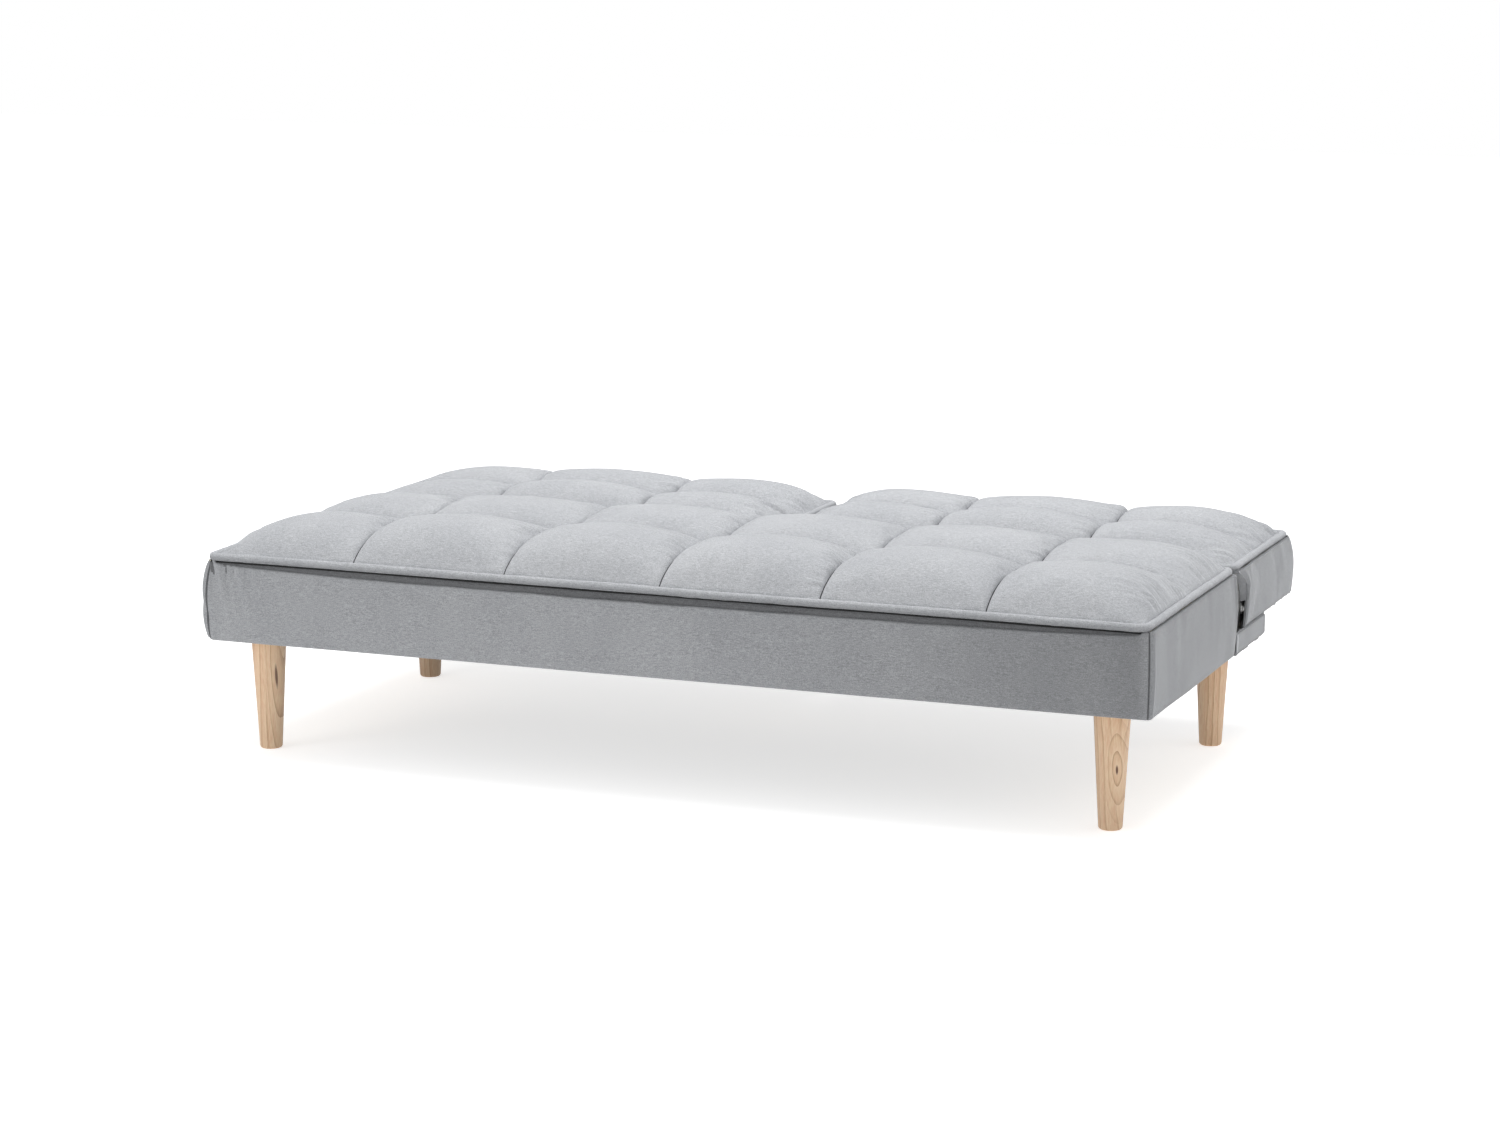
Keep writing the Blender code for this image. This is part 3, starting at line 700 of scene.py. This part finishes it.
def piping_loop(name, low, high, body, node, seed):
    """A covered cord sewn round a pad: slightly uneven, with shallow twist marks in its cover."""
    noise = Noise(seed)
    around = 16
    path, run = rounded_loop(*inner_edges(low, high, PIPING_RADIUS), corner=0.010, step=0.004)
    ahead = np.roll(path, -1, axis=0) - np.roll(path, 1, axis=0)
    ahead /= np.linalg.norm(ahead, axis=1)[:, None]
    outward = np.stack([ahead[:, 1], -ahead[:, 0]], axis=1)
    sway = 0.0010 * noise(run / 0.13, 0.5) + 0.0005 * noise(run / 0.045, 3.5)
    lift = 0.0012 * noise(run / 0.16, 7.5) + 0.0005 * noise(run / 0.05, 9.5)
    turn = np.linspace(0, 2 * math.pi, around, endpoint=False)
    mark = noise(run[:, None] / 0.012 + np.sin(turn)[None, :] * 0.8, turn[None, :] * 0.4 + 20)
    radius = PIPING_RADIUS * (0.97 + 0.045 * mark)
    side = sway[:, None] + radius * np.cos(turn)[None, :]
    points = np.empty((len(path), around, 3))
    points[..., 0] = path[:, 0, None] + outward[:, 0, None] * side
    points[..., 1] = path[:, 1, None] + outward[:, 1, None] * side
    points[..., 2] = PIPING_Z + lift[:, None] + radius * np.sin(turn)[None, :]
    faces = [face[::-1] for face in grid_faces(len(path), around, True, True)]
    cord = mesh_object(name, points.reshape(-1, 3), faces, PIPING_SHADE_VELVET)
    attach(cord, body)
    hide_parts(node)


# Padded borders


class Border:
    """A padded strip round a box, from a hem under it to a hem under the piping.

    front and rear give the box's Y at a height.
    """

    def __init__(self, x, front, rear, low, high, corner=0.014, hem=0.016, seam_depth=0.0030):
        self.x, self.front, self.rear = x, front, rear
        self.low, self.high = low, high
        self.corner, self.hem, self.seam_depth = corner, hem, seam_depth

    def stations(self, step):
        """(side, place) round the box: sides 0 front, 2 right, 4 rear, 6 left, and corners between them."""
        middle = (self.low + self.high) / 2
        wide = self.x[1] - self.x[0] - 2 * self.corner
        deep = self.rear(middle) - self.front(middle) - 2 * self.corner
        found = []
        for side, length in enumerate((wide, None, deep, None, wide, None, deep, None)):
            count = 14 if length is None else max(2, round(length / step))
            found += [(side, k / count) for k in range(count)]
        return np.array(found)

    def plan(self, stations, z, inset):
        """Where each station is at a height, and the way out of the box there."""
        side, place = stations[:, 0], stations[:, 1]
        corner = max(self.corner - inset, 0.0006)
        x0, x1 = self.x[0] + inset, self.x[1] - inset
        y0, y1 = self.front(z) + inset, self.rear(z) - inset
        centres = {
            0: ((x0 + corner, y0), (x1 - corner, y0), (0, -1)),
            2: ((x1, y0 + corner), (x1, y1 - corner), (1, 0)),
            4: ((x1 - corner, y1), (x0 + corner, y1), (0, 1)),
            6: ((x0, y1 - corner), (x0, y0 + corner), (-1, 0)),
        }
        spots = np.zeros((len(stations), 2))
        out = np.zeros((len(stations), 2))
        for number, (start, end, way) in centres.items():
            chosen = side == number
            t = place[chosen][:, None]
            spots[chosen] = np.array(start) * (1 - t) + np.array(end) * t
            out[chosen] = way
        hubs = {
            1: (x1 - corner, y0 + corner, -math.pi / 2),
            3: (x1 - corner, y1 - corner, 0.0),
            5: (x0 + corner, y1 - corner, math.pi / 2),
            7: (x0 + corner, y0 + corner, math.pi),
        }
        for number, (cx, cy, start) in hubs.items():
            chosen = side == number
            turn = start + place[chosen] * math.pi / 2
            out[chosen] = np.stack([np.cos(turn), np.sin(turn)], axis=1)
            spots[chosen] = np.array([cx, cy]) + corner * out[chosen]
        return spots, out

    def corner_seam(self, stations):
        """How deep the sewn seam at the middle of each corner pulls the fabric in."""
        nearer = np.where(stations[:, 0] % 4 == 1, 0.36, 0.64)
        return np.where(stations[:, 0] % 2 == 1, self.seam_depth * fade(stations[:, 1] - nearer, 0.085), 0.0)

    def levels(self):
        """(inset, height share, extra height) from the lower hem, up the wall and round the top edge."""
        roll, wall_rows = 0.006, 26
        turn = np.linspace(0, math.pi / 2, 6)[1:-1]
        lower = [(self.hem, 0.0, 0.0), (self.hem * 0.6, 0.0, 0.0), (roll, 0.0, 0.0)]
        lower += [(roll - roll * math.sin(a), 0.0, roll - roll * math.cos(a)) for a in turn]
        wall = [(0.0, share, 0.0) for share in np.linspace(0, 1, wall_rows)]
        upper = [(roll * 0.5 * (1 - math.cos(a)), 1.0, roll * 0.5 * math.sin(a)) for a in turn]
        upper += [(roll * 0.5, 1.0, roll * 0.5), (self.hem * 0.45, 1.0, roll * 0.5)]
        return roll, lower, wall, upper

    def points(self, stations, top_edge, shape):
        """The strip's points. top_edge gives its height at (side, x, y); shape pushes the wall outwards."""
        roll, lower, wall, upper = self.levels()
        middle = (self.low + self.high) / 2
        spots, _ = self.plan(stations, middle, 0.0)
        top = top_edge(stations[:, 0], spots[:, 0], spots[:, 1])
        rows = []
        for inset, share, extra in [*lower, *wall, *upper]:
            base = self.low if share == 0.0 and (inset, extra) != (0.0, 0.0) else self.low + roll
            reach = top - roll * 0.5 - base
            z = base + reach * share + extra
            flat = float(np.mean(z))
            here, out = self.plan(stations, flat, inset)
            if share > 0 or (inset, extra) == (0.0, 0.0):
                push = shape(stations[:, 0], spots[:, 0], spots[:, 1], z)
            else:
                push = shape(stations[:, 0], spots[:, 0], spots[:, 1], np.full_like(z, self.low)) * 0.6
            near = here + out * (push - self.corner_seam(stations))[:, None]
            rows.append(np.column_stack([near, z]))
        return np.array(rows)


def border_object(name, border, top_edge, shape, step, slots=(), velvet_used=None, warp=None):
    """Makes the strip's mesh. slots are (x low, x high, top) openings in its front face, for hinge plates.

    warp, where given, takes the points and moves them.
    """
    stations = border.stations(step)
    points = border.points(stations, top_edge, shape)
    if warp:
        points = warp(points)
    sewn = border.corner_seam(stations) > 0.9 * border.seam_depth
    dark = []
    rows, columns = points.shape[:2]
    faces = []
    flat = points.reshape(-1, 3)
    for face in grid_faces(rows, columns, wrap_columns=True):
        middle = flat[list(face)].mean(axis=0)
        on_front = all(stations[k % columns][0] in (0, 1, 7) for k in face)
        if on_front and any(low < middle[0] < high and middle[2] < top for low, high, top in slots):
            continue
        faces.append(face)
        dark.append(any(sewn[k % columns] for k in face))
    strip = mesh_object(name, flat, faces, velvet_used or BORDER_SHADE_VELVET)
    # painted shade: faces on the corner seams get the dark corner-seam velvet
    strip.data.materials.append(CORNER_SEAM_SHADE_VELVET)
    strip.data.polygons.foreach_set("material_index", [int(flag) for flag in dark])
    return thicken(strip, FABRIC_THICKNESS)


def along_front(side):
    return (side <= 1) | (side == 7)


def seat_border():
    noise, fine = Noise(61), Noise(62)

    def top_edge(side, x, y):
        """On the front the top edge hangs in a shallow bow, puckered where the staples pull it."""
        share = np.clip(1 - (x / (HALF_WIDTH - 0.02)) ** 2, 0, 1)
        bow = 0.0160 * share**0.3 + 0.0016 * noise(x / 0.13, 2.5) * share
        bow = bow + 0.0009 * fine(x / 0.04, 4.5) * share
        return PANEL_TOP + 0.001 - np.where(side == 0, bow, 0.0)

    def shape(side, x, y, z):
        share = np.clip((z - BOX_BOTTOM) / (PANEL_TOP - BOX_BOTTOM), 0, 1)
        left = 1 - smooth(-HALF_WIDTH, -HALF_WIDTH + 0.014, x)
        belly = (0.0035 + 0.0085 * left) * np.sin(math.pi * share) ** (0.8 - 0.3 * left) - 0.002
        run = np.where(along_front(side), x, y)
        slow = np.where(along_front(side), 0.0013, 0.0024) * noise(run / 0.13 + side * 7, share * 1.6)
        creases = 0.0006 * fine(run / 0.035 + side * 9, share * 1.2) * (0.3 + share)
        near_end = fade(x + HALF_WIDTH - 0.035, 0.065) * share**1.2
        pleats = 0.0180 * (np.abs(fine((x + 0.035 * share) / 0.019, 0.3 * share)) - 0.35) * near_end
        folds = 0.0016 * fine(run / 0.022 + 50, 0.8 * share) * fade(y - SEAT_REAR, 0.10)
        return belly + slow + creases + np.where(along_front(side), pleats, folds)

    border = Border(
        (-HALF_WIDTH + 0.001, HALF_WIDTH - 0.001),
        lambda z: FRONT + 0.001,
        lambda z: SEAT_REAR - 0.001,
        BOX_BOTTOM,
        PANEL_TOP,
    )
    name = "seat_padded_border"
    strip = border_object(name, border, top_edge, shape, 0.0050, velvet_used=SEAT_BORDER_SHADE_VELVET)
    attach(strip, "base")
    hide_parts("seat_front_panel", "seat_left_panel", "seat_right_panel", "seat_rear_panel")


def underlay_strip():
    """The darker strip that shows in the shadow between the piping and the front border's top edge: its dark
    velvet and the black cloth on its upper fold are painted shade.
    """
    noise = Noise(66)
    face, top = FRONT + 0.0060, PIPING_Z - PIPING_RADIUS - 0.0022
    half = HALF_WIDTH - 0.012
    wall = ((0.0, -0.026), (-0.0004, -0.016), (0.0, -0.007))
    fold = ((0.0007, -0.0012), (0.0024, 0.0), (0.0026, 0.0034))
    along = np.linspace(-half, half, round(2 * half / 0.010))
    rows = []
    for inward, drop in wall + fold:
        sway = 0.0006 * noise(along / 0.05, inward * 300) * (inward < 0.002)
        lift = 0.0007 * noise(along / 0.09, 9.5)
        rows.append(np.column_stack([along, face + inward + sway, top + drop + lift]))
    points = np.array(rows)
    faces = grid_faces(*points.shape[:2])
    strip = mesh_object("seat_underlay_strip", points.reshape(-1, 3), faces, SHADED_VELVET)
    # painted shadow: the strip's upper fold is black cloth, its lower part dark velvet
    strip.data.materials.append(SHADOW_LINING)
    for face in strip.data.polygons[3 * (len(along) - 1) :]:
        face.material_index = 1
    thicken(strip, UNDERLAY_THICKNESS)
    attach(strip, "base")
    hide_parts("seat_front_underlay")


def ledge_border():
    noise = Noise(71)

    def top_edge(side, x, y):
        return np.full_like(x, LEDGE_TOP - 0.0002)

    def shape(side, x, y, z):
        run = np.where(along_front(side), x, y)
        return 0.0008 * noise(run / 0.06 + side * 5, z / 0.03) - 0.001

    border = Border(
        (-HALF_WIDTH + 0.001, HALF_WIDTH - 0.001),
        lambda z: SEAT_REAR + 0.0008,
        lambda z: LEDGE_HIGH[1] + 0.0028,
        BOX_BOTTOM,
        LEDGE_TOP,
        corner=0.006,
        hem=0.005,
    )
    strip = border_object("ledge_padded_border", border, top_edge, shape, 0.012)
    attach(strip, "base")


def back_border(side, sign):
    noise, fine = Noise(81 + sign), Noise(91 + sign)
    lip, throat, throat_z = SIDE_LOW[1], SIDE_LOW[1] + 0.0495, 0.310
    bulge_z = 0.300
    rear_top, rear_most, rear_foot = BACK_HIGH[1] - 0.0365, BACK_HIGH[1], BACK_HIGH[1] - 0.014

    def front(z):
        return float(np.interp(z, (BACK_BOTTOM, throat_z, PANEL_TOP), (throat, throat, lip)))

    def rear(z):
        rise = np.interp(z, (BACK_BOTTOM, bulge_z, PANEL_TOP), (0.0, 1.0, 2.0))
        if rise < 1:
            return float(rear_foot + (rear_most - rear_foot) * math.sin(rise * math.pi / 2))
        return float(rear_top + (rear_most - rear_top) * math.cos((rise - 1) * math.pi / 2) ** 0.85)

    def top_edge(place, x, y):
        return np.full_like(x, PANEL_TOP + 0.003)

    def shape(place, x, y, z):
        run = np.where((place == 0) | (place == 4), x, y)
        share = np.clip((z - BACK_BOTTOM) / (PANEL_TOP - BACK_BOTTOM), 0, 1)
        slow = 0.0011 * noise(run / 0.11 + place * 3, share * 1.5)
        folds = 0.0042 * fine((y - 0.5 * z) / 0.021 + 30, 1.4 * share)
        folds = folds * fade(y - throat, 0.085) * (0.3 + share)
        folds = np.where(place == (2 if sign > 0 else 6), folds, 0.0)
        return slow + folds + 0.0007 * fine(run / 0.026 + place * 5, share * 1.1) - 0.0012

    def warp(points):
        """The outer side's front edge is cut back in a curve, so that the hinge shows in the gap."""
        x, y, z = points[..., 0], points[..., 1], points[..., 2]
        heights = (0.2505, 0.262, 0.281, 0.300, 0.327, 0.344, 0.3605)
        depths = (0.0, 0.009, 0.019, 0.025, 0.036, 0.022, 0.0)
        outer = smooth(0.882, 0.8925, sign * x) * (1 - smooth(0.0, 0.085, y - lip - 0.02))
        points[..., 1] = y + np.interp(z, heights, depths) * outer
        return points

    near, far = CENTRE_GAP + 0.0005, HALF_WIDTH - 0.001
    ends = tuple(sorted((sign * near, sign * far)))
    border = Border(ends, front, rear, BACK_BOTTOM, PANEL_TOP, corner=0.0055, hem=0.006)
    openings = ((0.0125, 0.0300, 0.354), (0.8760, 0.8930, 0.298), (0.8785, 0.8860, 0.354))
    slots = [(*sorted((sign * low, sign * high)), top) for low, high, top in openings]
    strip = border_object(f"back_{side}_padded_border", border, top_edge, shape, 0.007, slots, warp=warp)
    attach(strip, f"back_{side}")
    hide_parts(f"back_{side}_outer_panel", f"back_{side}_rear_panel")


# Hinge hardware


def turned_profile(name, profile, centre, axis_way, material, around=28):
    """A turned piece whose axis runs along X: profile is (distance along the axis, radius) pairs."""
    turn = np.linspace(0, 2 * math.pi, around, endpoint=False)
    points = []
    for along, radius in profile:
        for a in turn:
            y, z = centre[1] + radius * math.cos(a), centre[2] + radius * math.sin(a)
            points.append((centre[0] + axis_way * along, y, z))
    faces = grid_faces(len(profile), around, wrap_columns=True)
    faces.append(tuple(reversed(range(around))))
    faces.append(tuple(range(len(points) - around, len(points))))
    if axis_way > 0:
        faces = [face[::-1] for face in faces]
    piece = mesh_object(name, points, faces, material)
    piece.data.set_sharp_from_angle(angle=math.radians(35))
    return piece


def hinge_bolts():
    """Domed bolts and washers that hold each fixed hinge plate to its rail."""
    washer = [(0.0001, 0.0094), (0.0014, 0.0094), (0.0017, 0.0090), (0.0017, 0.0060)]
    head = [(0.0018, 0.0064), (0.0046, 0.0064), (0.0057, 0.0056)]
    head += [(0.0063, 0.0038), (0.0065, 0.0018), (0.0060, 0.0012)]
    for side, sign in (("left", -1), ("right", 1)):
        for place, way in (("outer", sign), ("inner", -sign)):
            low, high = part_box(f"hinge_plate_{side}_{place}")
            boss = high[0] if way > 0 else low[0]
            for number, (height, behind) in enumerate(((0.15, 0.0018), (0.46, 0.0))):
                centre = (boss - way * behind, low[1] + 0.040, low[2] + height * (high[2] - low[2]))
                name = f"hinge_{side}_{place}"
                for kind, profile in (("washer", washer), ("bolt", head)):
                    piece = turned_profile(f"{name}_{kind}_{number + 1}", profile, centre, way, STEEL)
                    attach(piece, "base")


# Camera, light and floor


def stage():
    camera_data = bpy.data.cameras.new("camera")
    camera_data.sensor_width = 36.0
    camera_data.lens = CAMERA_LENS
    camera_data.clip_end = 60
    camera = bpy.data.objects.new("camera", camera_data)
    camera.location = CAMERA_PLACE
    camera.rotation_euler = (math.radians(90 - CAMERA_DOWN), 0, math.radians(CAMERA_TURN))
    bpy.context.scene.collection.objects.link(camera)
    bpy.context.scene.camera = camera

    corners = [(x * FLOOR_REACH, y * FLOOR_REACH, 0) for x, y in ((-1, -1), (1, -1), (1, 1), (-1, 1))]
    floor = mesh_object("floor", corners, [(0, 1, 2, 3)], soft_white("floor"))

    for name, place, aim, size, power in (
        ("top_light", (0.15, 0.55, 3.6), (0.1, 0.1, 0.3), (3.4, 2.2), 104),
        ("left_light", (-2.3, -2.5, 1.0), (-0.7, -0.4, 0.3), (1.2, 1.2), 13),
        ("right_light", (4.6, 1.2, 1.6), (0.6, 0.2, 0.3), (1.6, 1.4), 8),
    ):
        data = bpy.data.lights.new(name, "AREA")
        data.shape = "RECTANGLE"
        data.size, data.size_y = size
        data.energy = power
        light = bpy.data.objects.new(name, data)
        light.location = place
        light.rotation_euler = (Vector(aim) - Vector(place)).to_track_quat("-Z", "Y").to_euler()
        bpy.context.scene.collection.objects.link(light)

    world = bpy.data.worlds.new("studio")
    world.use_nodes = True
    background = world.node_tree.nodes["Background"]
    background.inputs["Color"].default_value = (1, 1, 1, 1)
    strength = seen_strength(world.node_tree, CAST_LIGHT, SEEN_LIGHT)
    world.node_tree.links.new(strength, background.inputs["Strength"])
    bpy.context.scene.world = world
    bpy.context.scene.view_settings.view_transform = "Standard"


def main():
    dress_cad_nodes()
    stage()
    seat_pad()
    seat_border()
    underlay_strip()
    ledge_border()
    hinge_bolts()
    piping_loop("seat_velvet_piping", SEAT_PIPING_LOW, SEAT_PIPING_HIGH, "base", "seat_piping", 31)
    for side, sign in (("left", -1), ("right", 1)):
        back_pad(side, sign)
        back_border(side, sign)
        low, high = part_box(f"back_{side}_piping")
        piping_loop(f"back_{side}_velvet_piping", low, high, f"back_{side}", f"back_{side}_piping", 41 + sign)


main()
